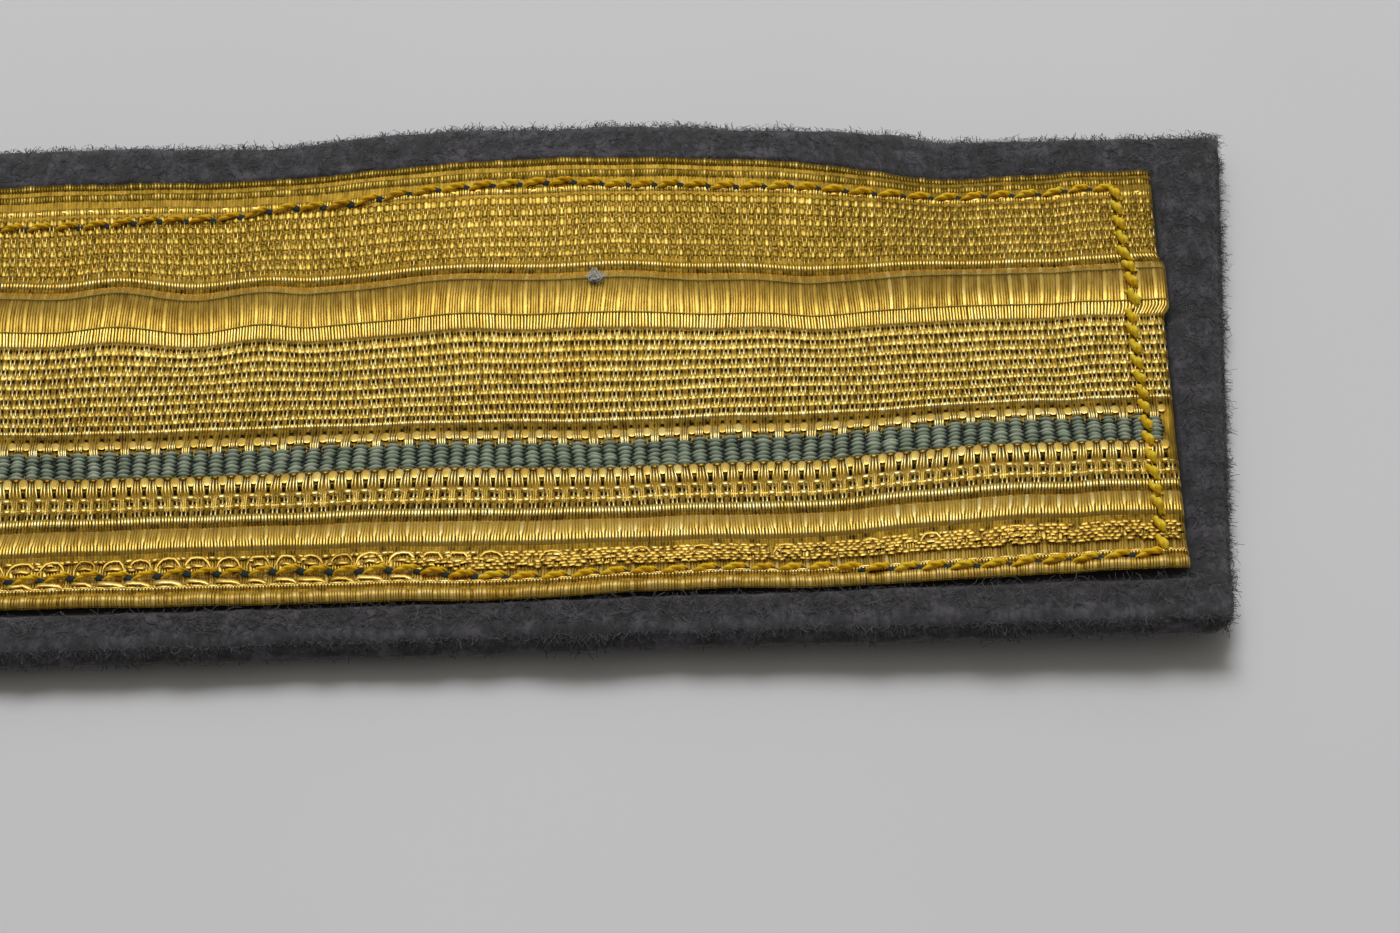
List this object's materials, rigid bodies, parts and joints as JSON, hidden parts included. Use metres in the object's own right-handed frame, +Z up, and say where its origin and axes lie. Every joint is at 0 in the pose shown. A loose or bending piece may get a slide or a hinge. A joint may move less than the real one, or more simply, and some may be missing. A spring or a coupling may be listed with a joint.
{
  "type": "cap rank insignia",
  "caption": "Oblong cap rank insignia: broad woven gold metal lace with a green ribbed stripe, folded under at both ends, laid on a thick wool felt backing.",
  "frame": {"origin": "under the middle of the felt backing, on the surface that it lies on", "axes": "+X along the patch, +Y across it from the edge with the green stripe to the edge with the broad smooth band, +Z up out of the lace"},
  "size_m": [0.1398, 0.054, 0.0069],
  "materials": {
    "felt": "thick fuzzy wool felt, dark slate grey",
    "gold_thread": "flat gilt metal thread woven over yellow warp, satin to bright, lightly tarnished in the hollows",
    "green_yarn": "ribbed grey-green yarn, soft sheen",
    "yellow_thread": "twisted yellow-orange sewing thread",
    "teal_thread": "dark teal sewing thread on the back"
  },
  "bodies": {
    "root": {"felt_backing": "felt", "gold_lace": "gold_thread", "green_stripe": "green_yarn"}
  },
  "joints": []
}
